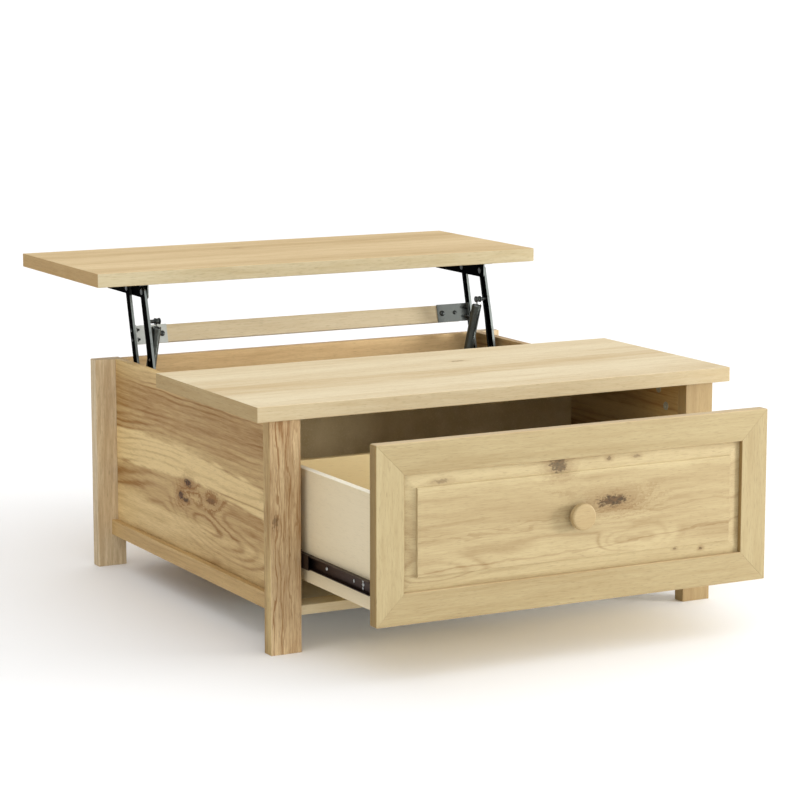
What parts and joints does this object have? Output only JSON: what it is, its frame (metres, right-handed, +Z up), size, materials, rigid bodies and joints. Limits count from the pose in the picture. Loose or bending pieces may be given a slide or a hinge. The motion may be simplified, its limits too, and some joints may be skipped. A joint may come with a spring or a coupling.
{
  "type": "lift top coffee table",
  "caption": "Rectangular oak coffee table on board legs, with a wide front drawer on ball-bearing slides and a rear half of the top that lifts on spring-assisted parallelogram arms.",
  "frame": {"origin": "on the floor, under the middle of the whole table's bounding box with the drawer open and the lift top raised", "axes": "+Z up, +X to the right seen from the drawer side, +Y from the drawer side to the back"},
  "size_m": [0.915, 1.314, 0.5601],
  "materials": {
    "oak": "light knotty oak, clear matt lacquer",
    "oak_panel": "knotty oak, a little darker, clear matt lacquer",
    "drawer_board": "pale drawer board, clear satin lacquer",
    "grey_board": "grey-brown hardboard and carcass board",
    "black_steel": "satin black, light at the worn edges",
    "plate_steel": "grey satin steel",
    "runner_steel": "dark brown satin",
    "spring_steel": "dark oiled spring wire",
    "zinc": "bright zinc plate"
  },
  "bodies": {
    "case": {"fixed_top": "oak", "leg_front_left": "oak", "leg_front_right": "oak", "leg_rear_left": "oak", "leg_rear_right": "oak", "side_panel_left": "oak_panel", "side_panel_right": "oak_panel", "side_rail_left": "oak", "side_rail_right": "oak", "back_panel": "oak_panel", "divider_panel": "grey_board", "storage_floor": "oak_panel", "front_stretcher": "oak", "dust_panel": "grey_board", "lift_base_left": "black_steel", "lift_base_right": "black_steel", "slide_case_rail_left": "runner_steel", "slide_case_rail_right": "runner_steel", "rivet_rear_low_left": "black_steel", "rivet_rear_low_right": "black_steel", "rivet_front_low_left": "black_steel", "rivet_front_low_right": "black_steel"},
    "drawer": {"drawer_stile_left": "oak", "drawer_stile_right": "oak", "drawer_rail_top": "oak", "drawer_rail_bottom": "oak", "drawer_raised_panel": "oak", "drawer_side_left": "drawer_board", "drawer_side_right": "drawer_board", "drawer_back": "drawer_board", "drawer_bottom": "drawer_board", "knob": "oak", "knob_screw": "zinc", "slide_drawer_rail_left": "runner_steel", "slide_drawer_rail_right": "runner_steel"},
    "ball_cages": {"slide_ball_cage_left": "zinc", "slide_ball_cage_right": "zinc"},
    "rear_arms": {"rear_arm_left": "black_steel", "rear_arm_right": "black_steel", "bar_plate_left": "plate_steel", "bar_plate_right": "plate_steel", "stabiliser_bar": "oak"},
    "front_arms": {"front_arm_left": "black_steel", "front_arm_right": "black_steel", "spring_spool_left": "black_steel", "spring_spool_right": "black_steel"},
    "lift_top": {"lift_top": "oak", "top_bracket_left": "black_steel", "top_bracket_right": "black_steel", "rivet_rear_top_left": "black_steel", "rivet_rear_top_right": "black_steel", "rivet_front_top_left": "black_steel", "rivet_front_top_right": "black_steel"},
    "springs": {"spring_coil_left": "spring_steel", "spring_coil_right": "spring_steel"},
    "spring_hooks": {"spring_hook_left": "spring_steel", "spring_hook_right": "spring_steel"}
  },
  "joints": [
    {"name": "drawer_slide", "type": "slide", "parent": "case", "child": "drawer", "axis": [0, -1, 0], "range_m": [-0.2514, 0.0106]},
    {"name": "cage_slide", "type": "slide", "parent": "case", "child": "ball_cages", "axis": [0, -1, 0], "range_m": [-0.1257, 0.0053]},
    {"name": "lift", "type": "hinge", "parent": "case", "child": "rear_arms", "pos_m": [0, 0.3205, 0.3124], "axis": [1, 0, 0], "range_deg": [0, 87.46]},
    {"name": "front_arm_pivot", "type": "hinge", "parent": "case", "child": "front_arms", "pos_m": [0, 0.2483, 0.3124], "axis": [1, 0, 0], "range_deg": [0, 87.46]},
    {"name": "lift_top_pivot", "type": "hinge", "parent": "rear_arms", "child": "lift_top", "pos_m": [0, 0.37409, 0.51958], "axis": [1, 0, 0], "range_deg": [-87.46, 0]},
    {"name": "spring_swing", "type": "hinge", "parent": "case", "child": "springs", "pos_m": [0, 0.34381, 0.3], "axis": [1, 0, 0], "range_deg": [0, 57.72]},
    {"name": "spring_stretch", "type": "slide", "parent": "springs", "child": "spring_hooks", "axis": [0, -0.3354, 0.9421], "range_m": [0, 0.0774], "deforming": ["spring_coil_left", "spring_coil_right"]}
  ],
  "couplings": [
    {"joint": "cage_slide", "follows": "drawer_slide", "ratio": 0.5},
    {"joint": "front_arm_pivot", "follows": "lift", "ratio": 1},
    {"joint": "lift_top_pivot", "follows": "lift", "ratio": -1},
    {"joint": "spring_swing", "follows": "lift", "ratio": 0.65971},
    {"joint": "spring_stretch", "follows": "lift", "m_per_rad": 0.050671}
  ]
}
